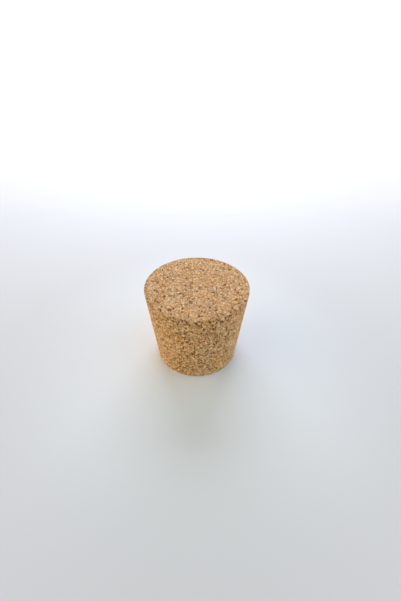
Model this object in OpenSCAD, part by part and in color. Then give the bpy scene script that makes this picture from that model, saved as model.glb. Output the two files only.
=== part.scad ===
// Tapered stopper of agglomerated cork, standing on its narrow end.
// It is one piece: cork granules bonded into a rod, cut to length and ground to a taper.
// Sizes are in millimetres. The origin is the centre of the foot, and +Z runs up the axis to the head.

/* [Taper] */
// Diameter at the head, where the wall's slope reaches the top face
head_d = 45; // [30:0.5:60]
// Diameter at the foot, where the wall's slope reaches the bottom face
foot_d = 38; // [24:0.5:54]
// Height from the foot's face to the head's face
height = 38; // [20:0.5:60]

/* [Rims] */
// Radius that softens the rim round the head
head_rim_r = 0.5; // [0.2:0.1:3]
// Radius that softens the rim round the foot
foot_rim_r = 0.4; // [0.2:0.1:3]

/* [Hidden] */
// Facets round a full turn
$fn = 180;
// Warm tan of the pressed granules
cork_colour = "#c59c72";
// Height by which a rim's arc stands proud of the wall, so that the two cross at one clean point
proud = 0.0005;
// Angle between the wall and the axis
slope = atan((head_d - foot_d) / 2 / height);

// Radius of the sloping wall at a height above the foot
function wall_r(z) = foot_d / 2 + z * tan(slope);

// Centre of a rim's arc that lies at height z and reaches the wall from inside
function rim_centre(z, r) = [wall_r(z) - r / cos(slope), z];

// Point beside that centre where the arc hands over to the wall
function wall_contact(centre, r) = centre + (r - proud) * [cos(slope), -sin(slope)];

// Half of the stopper's section: straight faces and wall, with an arc at each rim
module half_section() {
    foot_arc = rim_centre(foot_rim_r, foot_rim_r);
    head_arc = rim_centre(height - head_rim_r, head_rim_r);
    polygon([
        [0, 0],
        [foot_arc.x, 0],
        wall_contact(foot_arc, foot_rim_r),
        wall_contact(head_arc, head_rim_r),
        [head_arc.x, height],
        [0, height]
    ]);
    translate(foot_arc) circle(foot_rim_r);
    translate(head_arc) circle(head_rim_r);
}

module stopper() {
    color(cork_colour) rotate_extrude() half_section();
}

stopper();
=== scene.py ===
# %% [markdown]
# # A stopper of pressed cork
# The real thing is made of cork crumbs that are glued and pressed into a rod. The rod is cut to length and
# ground to a taper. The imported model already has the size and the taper. This lesson gives it the surface of
# pressed cork: granules with seams between them, pores, holes left by lost crumbs, and a chipped rim.

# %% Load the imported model
import math

import bpy
import numpy as np
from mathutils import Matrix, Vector


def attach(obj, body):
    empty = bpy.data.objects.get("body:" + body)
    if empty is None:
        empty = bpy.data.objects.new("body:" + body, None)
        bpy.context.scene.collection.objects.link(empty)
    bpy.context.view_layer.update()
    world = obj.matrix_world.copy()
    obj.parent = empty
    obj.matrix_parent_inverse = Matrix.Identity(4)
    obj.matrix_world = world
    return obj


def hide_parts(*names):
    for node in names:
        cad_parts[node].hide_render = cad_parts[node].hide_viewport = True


mm_per_m = 1000

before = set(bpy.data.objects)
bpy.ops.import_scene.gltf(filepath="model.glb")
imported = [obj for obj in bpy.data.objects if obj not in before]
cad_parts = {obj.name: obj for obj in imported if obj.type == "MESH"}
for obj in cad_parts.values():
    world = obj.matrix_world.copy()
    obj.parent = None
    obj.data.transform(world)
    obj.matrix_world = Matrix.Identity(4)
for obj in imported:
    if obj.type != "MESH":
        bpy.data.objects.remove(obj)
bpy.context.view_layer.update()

# %% [markdown]
# ## Reading the blank's sizes
# A turned shape is a stack of rings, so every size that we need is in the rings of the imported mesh.
# We could type the sizes in again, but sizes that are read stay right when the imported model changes.
# The widest step in height between two rings is the ground wall. Its slope, drawn on to the two end faces,
# gives the radius that each end would have with a sharp rim. The flat faces say where the rims' arcs begin.

# %% Measure the wall and the two flat faces
ring_decimals = 6

rings = sorted({
    (round(corner.co.z, ring_decimals), round(math.hypot(corner.co.x, corner.co.y), ring_decimals))
    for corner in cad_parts["stopper"].data.vertices
})
height = rings[-1][0]
steps = [(above[0] - below[0], below, above) for below, above in zip(rings, rings[1:])]
_, wall_foot, wall_head = max(steps)
slope = (wall_head[1] - wall_foot[1]) / (wall_head[0] - wall_foot[0])
foot_radius = wall_foot[1] - slope * wall_foot[0]
head_radius = wall_head[1] + slope * (height - wall_head[0])
foot_flat_radius = max(radius for z, radius in rings if z == 0)
head_flat_radius = max(radius for z, radius in rings if z == height)
print("sharp radii, in mm:", round(foot_radius * mm_per_m, 2), round(head_radius * mm_per_m, 2))
print("flat radii, in mm:", round(foot_flat_radius * mm_per_m, 2), round(head_flat_radius * mm_per_m, 2))

# %% [markdown]
# ## The camera
# The photograph has the look of a phone's lens, close to the stopper and looking down on it. A short lens
# that close makes the head look much wider than the foot, so lens and distance matter as much as the angle.
# Aiming straight at the stopper would put it in the middle of the picture. In the photograph it sits a little
# lower and to the left, so the camera aims a little above and beside it.

# %% Place the camera
picture_height = 601
focal_pixels = 302
sensor_mm = 36
eye_distance = 0.1408
eye_elevation = math.radians(42.97)
aim_up = math.radians(3.26)
aim_right = math.radians(0.67)
nearest_seen = 0.005

middle = Vector((0, 0, height / 2))
eye = middle + eye_distance * Vector((0, -math.cos(eye_elevation), math.sin(eye_elevation)))
bpy.ops.object.select_all(action="DESELECT")
bpy.ops.object.camera_add(location=eye)
camera = bpy.context.object
camera.name = "camera"
camera.rotation_mode = "ZYX"
camera.rotation_euler = (math.pi / 2 - eye_elevation + aim_up, -aim_right, 0)
camera.data.sensor_width = sensor_mm
camera.data.lens = focal_pixels / picture_height * sensor_mm
camera.data.clip_start = nearest_seen
bpy.context.scene.camera = camera
print("lens, in mm:", round(camera.data.lens, 2), "eye, in mm:", [round(x * mm_per_m, 1) for x in eye])

# %% [markdown]
# ## Helpers for node trees
# Materials, the world and the carving below are all node trees. By hand, one would add nodes and draw links
# between them. In a script that takes several lines for each node, so one helper adds a node, sets its
# options and feeds its inputs, either with a plain value or with a link from another node's output.

# %% A helper that adds a node
def add_node(tree, kind, inputs=None, **options):
    """Adds a node, sets its options, and feeds its inputs from sockets or plain values."""
    node = tree.nodes.new(kind)
    for name, value in options.items():
        setattr(node, name, value)
    for name, value in (inputs or {}).items():
        if isinstance(value, bpy.types.NodeSocket):
            tree.links.new(value, node.inputs[name])
        else:
            node.inputs[name].default_value = value
    return node


print("node helper:", add_node.__name__)

# %% Helpers for numbers
def reckon(tree, operation, *values):
    """Adds a Math node and returns its result."""
    return add_node(tree, "ShaderNodeMath", dict(enumerate(values)), operation=operation).outputs[0]


def ease(tree, value, start, end, low=0.0, high=1.0):
    """Returns a smooth step: low before start, high after end."""
    ends = {"Value": value, "From Min": start, "From Max": end, "To Min": low, "To Max": high}
    return add_node(tree, "ShaderNodeMapRange", ends, interpolation_type="SMOOTHSTEP").outputs["Result"]


def blend(tree, share, first, second):
    """Returns a mix of two numbers: first at share 0, second at share 1."""
    return add_node(tree, "ShaderNodeMix", {0: share, 2: first, 3: second}, data_type="FLOAT").outputs[0]


print("number helpers:", reckon.__name__, ease.__name__, blend.__name__)

# %% Helpers for vectors and colours
def reckon_vector(tree, operation, *values):
    """Adds a Vector Math node and returns its outputs, Vector and Value."""
    return add_node(tree, "ShaderNodeVectorMath", dict(enumerate(values)), operation=operation).outputs


def scaled(tree, vector, factor):
    """Returns a vector made longer by a factor."""
    inputs = {0: vector, "Scale": factor}
    return add_node(tree, "ShaderNodeVectorMath", inputs, operation="SCALE").outputs["Vector"]


def apart(tree, vector):
    """Returns the three numbers of a vector."""
    return add_node(tree, "ShaderNodeSeparateXYZ", {0: vector}).outputs


def blend_colours(tree, share, first, second, way="MIX"):
    """Returns a mix of two colours: first at share 0, second laid over it at share 1."""
    inputs = {0: share, 6: first, 7: second}
    return add_node(tree, "ShaderNodeMix", inputs, data_type="RGBA", blend_type=way).outputs[2]


print("vector helpers:", reckon_vector.__name__, scaled.__name__, apart.__name__)
print("colour helper:", blend_colours.__name__)

# %% [markdown]
# ## Floor and light
# The stopper stands on a pale table under soft daylight. Much of it comes from above and behind, so the top
# is brightest, the wall that faces us is lit by the table and the room, and the shadow falls softly forwards.
# Sun lamps would draw hard edges. So the world is the room, with a warm glow from the left and a cool one
# from the right, and one area lamp behind is the window.
# Round the stopper the table is painted paler, and darker a little way off: painted light that evens out the
# stopper's shade and the window's light on it. Far away it fades to white, for the rays that show it to us.

# %% Rays that see a white background
white = (1, 1, 1, 1)
black = (0, 0, 0, 1)


def shown_white(tree):
    """Returns 1 for the rays that should see a white background: camera, glossy and transmission rays."""
    rays = add_node(tree, "ShaderNodeLightPath").outputs
    seen = reckon(tree, "MAXIMUM", rays["Is Camera Ray"], rays["Is Glossy Ray"])
    return reckon(tree, "MAXIMUM", seen, rays["Is Transmission Ray"])


print("background:", white[:3])

# %% Floor
floor_half = 4.0

bpy.ops.object.select_all(action="DESELECT")
bpy.ops.mesh.primitive_plane_add(size=2 * floor_half, location=(0, 0, 0))
floor = bpy.context.object
floor.name = "floor"
print("floor, in m:", 2 * floor_half)

# %% Floor material
# Painted light: the table is paler round the stopper, against its shade, and darker a little way off, against
# the window's light.
painted_light_near_tone = (0.775, 0.785, 0.79, 1)
far_tone_painted_dim = (0.675, 0.66, 0.66, 1)
tone_start, tone_end = 0.03, 0.10
fade_start, fade_end = 0.2, 0.42
floor_roughness = 0.9

table = bpy.data.materials.new("pale_table")
table.use_nodes = True
tree = table.node_tree
surface = tree.nodes["Principled BSDF"]
surface.inputs["Roughness"].default_value = floor_roughness
place = add_node(tree, "ShaderNodeTexCoord").outputs["Object"]
distance = reckon_vector(tree, "LENGTH", place)["Value"]
tone = blend_colours(tree, ease(tree, distance, tone_start, tone_end), painted_light_near_tone, far_tone_painted_dim)
tree.links.new(tone, surface.inputs["Base Color"])
far_white = add_node(tree, "ShaderNodeEmission", {"Color": white, "Strength": 1.0})
far_share = reckon(tree, "MULTIPLY", ease(tree, distance, fade_start, fade_end), shown_white(tree))
faded = add_node(tree, "ShaderNodeMixShader", {0: far_share, 1: surface.outputs[0], 2: far_white.outputs[0]})
tree.links.new(faded.outputs[0], tree.nodes["Material Output"].inputs["Surface"])
floor.data.materials.append(table)
print("table tones:", painted_light_near_tone[:3], far_tone_painted_dim[:3])

# %% Soft room
left_light = (2.97, 2.82, 2.22, 1)
right_light = (1.97, 2.39, 2.75, 1)
glow_turn = math.radians(10)
glow_power = 2


def glow(tree, direction, side, colour):
    """Returns a soft glow from the left (side -1) or the right (side 1), turned a little to the front."""
    axis = (side * math.cos(glow_turn), -math.sin(glow_turn), 0)
    along = reckon_vector(tree, "DOT_PRODUCT", direction, axis)["Value"]
    share = reckon(tree, "POWER", reckon(tree, "MAXIMUM", along, 0.0), glow_power)
    return blend_colours(tree, share, black, colour)


world = bpy.data.worlds.new("soft_room")
bpy.context.scene.world = world
world.use_nodes = True
tree = world.node_tree
direction = add_node(tree, "ShaderNodeTexCoord").outputs["Generated"]
from_left = glow(tree, direction, -1, left_light)
from_right = glow(tree, direction, 1, right_light)
room = blend_colours(tree, 1.0, from_left, from_right, "ADD")
room = blend_colours(tree, shown_white(tree), room, white)
tree.links.new(room, tree.nodes["Background"].inputs["Color"])
bpy.context.scene.view_settings.view_transform = "Standard"
print("room light from the left and right:", left_light[:3], right_light[:3])

# %% Window lamp behind the stopper
window_place = Vector((0, 0.45, 0.30))
window_size = 0.5
window_watts = 3.5
window_colour = (0.81, 0.85, 1.0)

bpy.ops.object.select_all(action="DESELECT")
bpy.ops.object.light_add(type="AREA", location=window_place)
window = bpy.context.object
window.name = "window"
window.rotation_mode = "QUATERNION"
window.rotation_quaternion = (window_place - middle).to_track_quat("Z", "Y")
window.data.size = window_size
window.data.energy = window_watts
window.data.color = window_colour
window.visible_camera = False
print("window lamp, in W:", window.data.energy)

# %% [markdown]
# ## Turning the blank
# The blank is the plain, tapered piece, before it shows any grain. Spinning a half section would make it too,
# but all the faces at an end's middle would then meet in one point, and carving would crease there.
# So it is a cylinder whose head is scaled up for the taper. Beveling the two end rings rounds the rims.
# Carving granules later needs small, even faces, so the flat ends are refilled with a grid,
# and the wall is cut into rows. Everything stays quads, which carve and shade evenly.

# %% Helpers that select faces and edges
def select_parts(piece, kind, wanted):
    """Selects the faces or edges of a piece that a test accepts, and leaves it in edit mode."""
    bpy.ops.object.mode_set(mode="EDIT")
    bpy.ops.mesh.select_mode(type=kind)
    bpy.ops.mesh.select_all(action="DESELECT")
    bpy.ops.object.mode_set(mode="OBJECT")
    for part in piece.data.polygons if kind == "FACE" else piece.data.edges:
        part.select = wanted(part)
    bpy.ops.object.mode_set(mode="EDIT")


def edge_ends(piece, edge):
    """Returns the places of an edge's two ends."""
    return [piece.data.vertices[corner].co for corner in edge.vertices]


print("selection helpers:", select_parts.__name__, edge_ends.__name__)

# %% Cylinder and taper
around = 512
end_facing = 0.9

bpy.ops.object.select_all(action="DESELECT")
bpy.ops.mesh.primitive_cylinder_add(
    vertices=around, radius=foot_radius, depth=height, end_fill_type="NGON", location=middle
)
stopper = bpy.context.object
stopper.name = "cork_stopper"
bpy.ops.object.transform_apply(location=True, rotation=True, scale=True)
select_parts(stopper, "FACE", lambda face: face.normal.z > end_facing)
widen = head_radius / foot_radius
bpy.ops.transform.resize(value=(widen, widen, 1))
bpy.ops.object.mode_set(mode="OBJECT")
print("blank, in mm:", [round(side * mm_per_m, 2) for side in stopper.dimensions])

# %% Round the rims
rim_steps = 3
round_profile = 0.5

rim_widths = {1: head_radius - head_flat_radius, -1: foot_radius - foot_flat_radius}
for side, rim_width in rim_widths.items():
    select_parts(stopper, "FACE", lambda face: face.normal.z * side > end_facing)
    bpy.ops.mesh.region_to_loop()
    bpy.ops.mesh.bevel(offset=rim_width, offset_type="OFFSET", segments=rim_steps, profile=round_profile)
    bpy.ops.object.mode_set(mode="OBJECT")
print("faces with round rims:", len(stopper.data.polygons))

# %% Fill the flat ends with a grid
flat_facing = 0.999
same_place = 1e-6


def lies_level(edge, level):
    """Says whether both ends of an edge lie at this height."""
    return all(abs(end.z - level) < same_place for end in edge_ends(stopper, edge))


select_parts(stopper, "FACE", lambda face: abs(face.normal.z) > flat_facing)
bpy.ops.mesh.delete(type="ONLY_FACE")
for level in (0, height):
    select_parts(stopper, "EDGE", lambda edge: lies_level(edge, level))
    bpy.ops.mesh.fill_grid(span=around // 4)
bpy.ops.object.mode_set(mode="OBJECT")
print("faces with filled ends:", len(stopper.data.polygons))

# %% Cut the wall into rows
wall_cuts = 123
merge_distance = 1e-7


def runs_down_wall(edge):
    """Says whether an edge runs the whole way down the wall."""
    start, end = edge_ends(stopper, edge)
    return abs(end.z - start.z) > height / 2


select_parts(stopper, "EDGE", runs_down_wall)
bpy.ops.mesh.subdivide_edgering(number_cuts=wall_cuts, interpolation="LINEAR")
bpy.ops.mesh.select_all(action="SELECT")
bpy.ops.mesh.remove_doubles(threshold=merge_distance)
bpy.ops.mesh.normals_make_consistent(inside=False)
bpy.ops.object.mode_set(mode="OBJECT")
bpy.ops.object.shade_smooth()
print("triangles:", sum(len(face.vertices) - 2 for face in stopper.data.polygons))

# %% [markdown]
# ## Unfolding the blank
# A painted copy of the finish needs a flat map of the surface. An automatic map would break it into scraps.
# It is easy to unfold now, while the blank is smooth: one seam round each end face and two seams down the wall
# give two discs and two halves of the cone.

# %% Mark seams and unwrap
map_gap = 0.004


def on_ring(place, radius):
    """Says whether a place lies this far from the axis."""
    return abs(math.hypot(place.x, place.y) - radius) < same_place


def is_seam(edge):
    """Says whether an edge is cut: round an end face, or down the wall on either side."""
    ends = edge_ends(stopper, edge)
    for level, radius in ((0, foot_flat_radius), (height, head_flat_radius)):
        if lies_level(edge, level):
            return all(on_ring(end, radius) for end in ends)
    return all(abs(end.y) < same_place for end in ends)


select_parts(stopper, "EDGE", is_seam)
bpy.ops.mesh.mark_seam()
bpy.ops.mesh.select_all(action="SELECT")
bpy.ops.uv.unwrap(method="CONFORMAL", margin=map_gap)
bpy.ops.object.mode_set(mode="OBJECT")
stopper.data.uv_layers.active.name = "OFBake"
print("seam edges:", sum(edge.use_seam for edge in stopper.data.edges))

# %% [markdown]
# ## The pattern of the granules
# Pressed cork shows two sizes of crumb: whole granules, and broken ones that fill the room between them.
# Pores stay open where crumbs meet badly or fell out, more of them on the ground wall than on the cut ends.
# We could model crumbs and scatter them, but the tens of thousands that it takes would be far too heavy.
# A Voronoi texture cuts space into such cells, and a noise bends it so that the cells get uneven edges.
# The pattern is solid: it runs through the stopper, so a granule at the rim shows on both faces.
# One function lays its nodes, because carving and colouring have to agree on where each granule lies.
# All its sizes are in millimetres.

# %% Bending space with a noise
bend_mm = 0.25
tear_mm = 0.45
bend_noise = {"Scale": 1.1, "Detail": 3.0, "Roughness": 0.65}
tear_noise = {"Scale": 2.3, "Detail": 2.0, "Roughness": 0.6}
noise_middle = 0.5


def noise(tree, place, look):
    """Adds a noise with this look and returns its outputs."""
    return add_node(tree, "ShaderNodeTexNoise", {"Vector": place, **look}).outputs


def pushed(tree, place, push, reach):
    """Returns a place pushed about by a noise's colour, by up to about this reach."""
    centred = reckon_vector(tree, "SUBTRACT", push, (noise_middle,) * 3)["Vector"]
    return reckon_vector(tree, "MULTIPLY_ADD", centred, (reach / noise_middle,) * 3, place)["Vector"]


print("bend and tear, in mm:", bend_mm, tear_mm)

# %% Cells for granules and crumbs
granule_mm = 1.0
crumb_mm = 0.55
broken_share = 0.4


def cells(tree, place, size_mm):
    """Returns three chance numbers of the cell at a place, and the way to its middle, in cell sizes."""
    cell = add_node(tree, "ShaderNodeTexVoronoi", {"Vector": place, "Scale": 1 / size_mm}, feature="F1")
    return apart(tree, cell.outputs["Color"]), cell.outputs["Distance"]


def seam_way(tree, place, size_mm):
    """Returns the way from a place to the nearest seam between cells."""
    inputs = {"Vector": place, "Scale": 1 / size_mm}
    seam = add_node(tree, "ShaderNodeTexVoronoi", inputs, feature="DISTANCE_TO_EDGE")
    return reckon(tree, "MULTIPLY", seam.outputs["Distance"], size_mm)


print("granules, in mm:", granule_mm, "crumbs, in mm:", crumb_mm)

# %% Where the wall and the rims are
wall_start_mm = (0.1, 0.6)
rim_reach_mm = (0.4, 1.6)


def long_side(tree, first, second):
    """Returns the long side of a right triangle."""
    squares = [reckon(tree, "POWER", side, 2) for side in (first, second)]
    return reckon(tree, "SQRT", reckon(tree, "ADD", *squares))


def on_wall(tree, place):
    """Returns 1 on the ground wall and 0 on the two cut ends."""
    level = apart(tree, place)[2]
    from_end = reckon(tree, "MINIMUM", level, reckon(tree, "SUBTRACT", height * mm_per_m, level))
    return ease(tree, from_end, *wall_start_mm)


def near_rim(tree, place):
    """Returns 1 on the two rims, falling to 0 a little way off."""
    x, y, z = apart(tree, place)
    radius = long_side(tree, x, y)
    ways = []
    for rim_radius, level in ((head_radius, height), (foot_radius, 0)):
        out = reckon(tree, "SUBTRACT", radius, rim_radius * mm_per_m)
        up = reckon(tree, "SUBTRACT", z, level * mm_per_m)
        ways.append(long_side(tree, out, up))
    return ease(tree, reckon(tree, "MINIMUM", *ways), *rim_reach_mm, 1.0, 0.0)


print("rims reach, in mm:", rim_reach_mm)

# %% Crumbs that fell out
end_lost_share = 0.06
wall_lost_share = 0.12
rim_lost_share = 0.08
end_whole_part = 0.3
wall_whole_part = 0.5


def lost_crumbs(tree, place, whole, crumb, broken, wall):
    """Returns 1 on the crumbs and the fewer whole granules that fell out."""
    share = blend(tree, wall, end_lost_share, wall_lost_share)
    share = blend(tree, near_rim(tree, place), share, rim_lost_share)
    crumb_lost = reckon(tree, "MULTIPLY", reckon(tree, "LESS_THAN", crumb[0], share), broken)
    whole_share = reckon(tree, "MULTIPLY", share, blend(tree, wall, end_whole_part, wall_whole_part))
    whole_lost = reckon(tree, "GREATER_THAN", whole[0], reckon(tree, "SUBTRACT", 1.0, whole_share))
    return reckon(tree, "MAXIMUM", crumb_lost, whole_lost)


print("lost on ends, wall and rims:", end_lost_share, wall_lost_share, rim_lost_share)

# %% Gaps where the corners of granules meet
end_corner = 0.86
wall_corner = 0.80
corner_edge = 0.14
corner_swing = 0.5


def open_corners(tree, way, swirl, wall):
    """Returns how open a place is, from its way to the granule's middle, in cell sizes."""
    uneven = reckon(tree, "MULTIPLY", reckon(tree, "SUBTRACT", swirl, noise_middle), corner_swing)
    opens = blend(tree, wall, end_corner, wall_corner)
    past = reckon(tree, "SUBTRACT", reckon(tree, "ADD", way, uneven), opens)
    return ease(tree, past, 0.0, corner_edge)


print("corners open from:", end_corner, wall_corner)

# %% Pores, and chips that stand out
pore_mm = 0.92
end_pore_mm = (-0.22, 0.44)
wall_pore_mm = (-0.04, 0.60)
pore_edge_mm = (-0.06, 0.1)
few_large = 1.5

# Each chip: degrees round the axis from +X, way in from the head's rim, way down from the head, and radius
chips_mm = (
    (-61, 0.1, 1.0, 0.55),
    (-56, 0.1, 1.1, 0.70),
    (-77, 0.2, 1.6, 0.50),
    (-91, 0.1, 1.2, 0.55),
    (-100, 0.2, 1.9, 0.50),
    (-108, 0.2, 1.6, 0.50),
    (-157, 0.3, 0.2, 0.60),
    (-121, 4.8, 0.0, 0.42),
    (-40, 14.4, 0.0, 0.45),
    (-36, 13.6, 0.0, 0.40),
)


def chip_depth(tree, place, chip):
    """Returns how deep a place lies inside one chip."""
    degrees, inset, drop, radius = chip
    angle = math.radians(degrees)
    out = head_radius * mm_per_m - inset
    heart = (out * math.cos(angle), out * math.sin(angle), height * mm_per_m - drop)
    return reckon(tree, "SUBTRACT", radius, reckon_vector(tree, "DISTANCE", place, heart)["Value"])


def pores(tree, place, wall):
    """Returns how open a place is in a pore or a chip. A radius below zero leaves a cell without a pore."""
    chance, way = cells(tree, place, pore_mm)
    least, most = (blend(tree, wall, *sizes) for sizes in zip(end_pore_mm, wall_pore_mm))
    radius = blend(tree, reckon(tree, "POWER", chance[0], few_large), least, most)
    depth = reckon(tree, "SUBTRACT", radius, reckon(tree, "MULTIPLY", way, pore_mm))
    for chip in chips_mm:
        depth = reckon(tree, "MAXIMUM", depth, chip_depth(tree, place, chip))
    return ease(tree, depth, *pore_edge_mm)


print("widest pores, in mm:", 2 * end_pore_mm[1], 2 * wall_pore_mm[1], "chips:", len(chips_mm))

# %% The whole pattern
hole_wall_mm = 0.22
crumb_tone_part = 0.3


def granule_pattern(tree, place):
    """Lays the pattern's nodes for a place in mm, and returns their sockets by name."""
    swirl = noise(tree, place, bend_noise)
    bent = pushed(tree, place, swirl["Color"], bend_mm)
    torn = pushed(tree, bent, noise(tree, place, tear_noise)["Color"], tear_mm)
    whole, whole_way = cells(tree, bent, granule_mm)
    crumb, crumb_way = cells(tree, bent, crumb_mm)
    broken = reckon(tree, "LESS_THAN", whole[0], broken_share)
    whole_seam = seam_way(tree, bent, granule_mm)
    any_seam = reckon(tree, "MINIMUM", whole_seam, seam_way(tree, bent, crumb_mm))
    seam = blend(tree, broken, whole_seam, any_seam)
    wall = on_wall(tree, place)
    lost = lost_crumbs(tree, place, whole, crumb, broken, wall)
    fallen = reckon(tree, "MULTIPLY", lost, ease(tree, seam, 0.0, hole_wall_mm))
    gap = open_corners(tree, whole_way, swirl["Fac"], wall)
    gap = reckon(tree, "MAXIMUM", gap, pores(tree, torn, wall))
    return {
        "tone": blend(tree, blend(tree, broken, crumb_tone_part, 1.0), whole[1], crumb[1]),
        "hue": blend(tree, broken, whole[2], crumb[2]),
        "way": blend(tree, broken, whole_way, crumb_way),
        "seam": seam,
        "hole": reckon(tree, "MAXIMUM", fallen, gap),
        "wall": wall,
    }


print("pattern:", granule_pattern.__name__)

# %% [markdown]
# ## Carving the surface
# On the real stopper, crumbs tear out when it is cut and ground, and seams lie a little lower than crumbs.
# A bump map alone would leave the rim a clean line against the table, so the mesh itself is carved.
# A Geometry Nodes modifier moves each point of the blank inwards by a depth that the pattern gives:
# a hole where a crumb fell out, a groove along each seam, and a small step from granule to granule.
# It first notes where each point lay on the blank, so that the material can find the same granules later.

# %% Depth of holes, grooves and steps
hole_mm = (0.3, 0.6)
groove_mm = 0.06
groove_wall_mm = 0.2
step_mm = 0.08

carve = bpy.data.node_groups.new("carve_granules", "GeometryNodeTree")
carve.interface.new_socket("Blank", in_out="INPUT", socket_type="NodeSocketGeometry")
carve.interface.new_socket("Cork", in_out="OUTPUT", socket_type="NodeSocketGeometry")
place = scaled(carve, add_node(carve, "GeometryNodeInputPosition").outputs[0], mm_per_m)
grain = granule_pattern(carve, place)
hole = reckon(carve, "MULTIPLY", grain["hole"], blend(carve, grain["tone"], *hole_mm))
groove = ease(carve, grain["seam"], 0.0, groove_wall_mm, groove_mm, 0.0)
inside = ease(carve, grain["seam"], 0.0, groove_wall_mm)
step = reckon(carve, "MULTIPLY", reckon(carve, "MULTIPLY", grain["hue"], step_mm), inside)
depth = reckon(carve, "ADD", reckon(carve, "ADD", hole, groove), step)
print("carving nodes:", len(carve.nodes))

# %% Note the places and move the points
blank = add_node(carve, "NodeGroupInput").outputs[0]
noting = {"Geometry": blank, "Name": "blank_place", "Value": place}
noted = add_node(carve, "GeometryNodeStoreNamedAttribute", noting, data_type="FLOAT_VECTOR", domain="POINT")
normal = add_node(carve, "GeometryNodeInputNormal").outputs[0]
inward = scaled(carve, normal, reckon(carve, "MULTIPLY", depth, -1 / mm_per_m))
moved = add_node(carve, "GeometryNodeSetPosition", {"Geometry": noted.outputs[0], "Offset": inward})
add_node(carve, "NodeGroupOutput", {0: moved.outputs[0]})
print("carving nodes with the move:", len(carve.nodes))

# %% Apply the carving and measure it
def corner_places(piece):
    """Returns the places of a piece's corners, in mm."""
    places = np.empty(len(piece.data.vertices) * 3, np.float32)
    piece.data.vertices.foreach_get("co", places)
    return places.reshape(-1, 3) * mm_per_m


blank_places = corner_places(stopper)
stopper.modifiers.new("granules", "NODES").node_group = carve
bpy.ops.object.modifier_apply(modifier="granules")
depths = np.linalg.norm(corner_places(stopper) - blank_places, axis=1)
print("carved, in mm: mean", depths.mean().round(3), "deepest", depths.max().round(3))

# %% [markdown]
# ## The cork's colour
# Each granule has a tone of its own, from pale tan to brown, and a few lean to red or olive.
# Seams are darker, from their glue and from painted shade, and the holes are darker still: the dark cork
# inside them, with painted shade over it.
# The ground wall is painted a little brighter and more golden than a cut end, as painted warm light from the
# side, and fine speckles keep every granule from being flat.
# A picture of cork could be wrapped round the stopper, but it would stretch, and its granules would not be
# the carved ones. So the colour comes from the same pattern, at the places that the carving noted.

# %% Colours of the granules
tan_tones = {
    0.00: (0.44, 0.225, 0.093, 1),
    0.15: (0.65, 0.365, 0.165, 1),
    0.50: (0.79, 0.475, 0.24, 1),
    0.80: (0.85, 0.56, 0.32, 1),
    1.00: (0.91, 0.68, 0.455, 1),
}
tints = {
    0.00: (1.04, 0.96, 0.97, 1),
    0.25: (1.0, 1.0, 1.0, 1),
    0.75: (1.0, 1.0, 1.0, 1),
    1.00: (0.97, 1.01, 0.94, 1),
}
# Painted shade: each granule is lighter in its middle and darker towards its edges, like a dome lit from
# above.
painted_dome_shade = {0.2: (1.06, 1.06, 1.06, 1), 0.8: (0.78, 0.76, 0.72, 1)}
speckles = {0.3: (0.60, 0.565, 0.50, 1), 0.7: (1.25, 1.27, 1.33, 1)}
patches = {0.35: (1.04, 0.98, 0.90, 1), 0.65: (0.98, 1.02, 1.06, 1)}
# Painted light: a brighter, more golden tint on the wall than on the ends stands in for warm light from the
# side.
wall_warm_light_tint = {0.0: (1.04, 1.025, 1.03, 1), 1.0: (1.11, 1.075, 0.99, 1)}
# Seam colour: glue, with painted shade. Hole colour: the dark cork inside a hole, with painted shade.
seam_glue_and_shade = (0.23, 0.11, 0.036, 1)
hole_dark_and_shade = (0.20, 0.068, 0.009, 1)


def ramp(tree, value, stops):
    """Adds a colour ramp with these stops and returns its colour."""
    node = add_node(tree, "ShaderNodeValToRGB", {0: value})
    stop = node.color_ramp.elements
    stop.remove(stop[1])
    for position, colour in stops.items():
        point = stop[0] if position == min(stops) else stop.new(position)
        point.position = position
        point.color = colour
    return node.outputs["Color"]


print("tan tones:", len(tan_tones))

# %% Lay the layers of colour over each other
speckle_noise = {"Scale": 2.6, "Detail": 4.0, "Roughness": 0.7}
patch_noise = {"Scale": 0.16, "Detail": 2.0}

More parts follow.
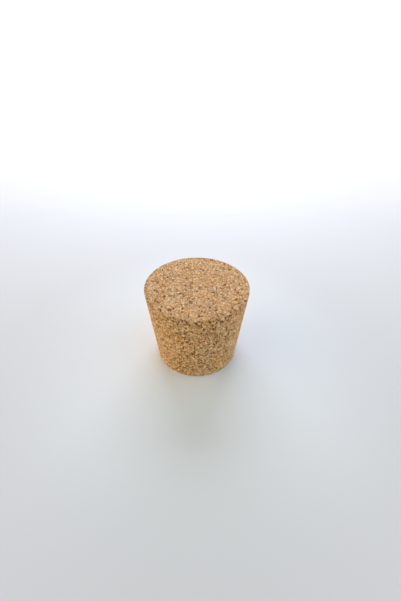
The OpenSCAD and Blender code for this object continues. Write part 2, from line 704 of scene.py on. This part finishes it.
cork = bpy.data.materials.new("pressed_cork")
cork.use_nodes = True
tree = cork.node_tree
place = add_node(tree, "ShaderNodeAttribute", attribute_name="blank_place").outputs["Vector"]
grain = granule_pattern(tree, place)
fine = noise(tree, place, speckle_noise)["Fac"]
patch = noise(tree, place, patch_noise)["Fac"]
layers = (
    (grain["hue"], tints),
    (grain["way"], painted_dome_shade),
    (fine, speckles),
    (patch, patches),
    (grain["wall"], wall_warm_light_tint),
)
colour = ramp(tree, grain["tone"], tan_tones)
for value, stops in layers:
    colour = blend_colours(tree, 1.0, colour, ramp(tree, value, stops), "MULTIPLY")
print("colour layers:", 1 + len(layers))

# %% Darken seams and holes: glue, dark hollows and painted shade
seam_edge_mm = (0.02, 0.13)
seam_share = 0.4
hollow_share = 0.9

seam_shade = ease(tree, grain["seam"], *seam_edge_mm, seam_share, 0.0)
colour = blend_colours(tree, seam_shade, colour, seam_glue_and_shade)
colour = blend_colours(tree, reckon(tree, "MULTIPLY", grain["hole"], hollow_share), colour, hole_dark_and_shade)
shader = tree.nodes["Principled BSDF"]
tree.links.new(colour, shader.inputs["Base Color"])
print("seam and hole colours:", seam_glue_and_shade[:3], hole_dark_and_shade[:3])

# %% Dull, uneven surface
cork_roughness = (0.78, 0.95)
cork_specular = 0.12
speckle_height = 0.12
seam_depth = -0.05
seam_width_mm = 0.12
bump_distance = 0.001

shader.inputs["Specular IOR Level"].default_value = cork_specular
tree.links.new(blend(tree, fine, *cork_roughness), shader.inputs["Roughness"])
fine_height = reckon(tree, "MULTIPLY", fine, speckle_height)
seam_height = ease(tree, grain["seam"], 0.0, seam_width_mm, seam_depth, 0.0)
uneven_height = reckon(tree, "ADD", fine_height, seam_height)
bump = add_node(tree, "ShaderNodeBump", {"Distance": bump_distance, "Height": uneven_height})
tree.links.new(bump.outputs[0], shader.inputs["Normal"])
stopper.data.materials.clear()
stopper.data.materials.append(cork)
print("cork nodes:", len(tree.nodes))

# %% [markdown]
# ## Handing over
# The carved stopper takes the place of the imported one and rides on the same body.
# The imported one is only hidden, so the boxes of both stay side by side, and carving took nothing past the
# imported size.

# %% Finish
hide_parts("stopper")
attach(stopper, "root")
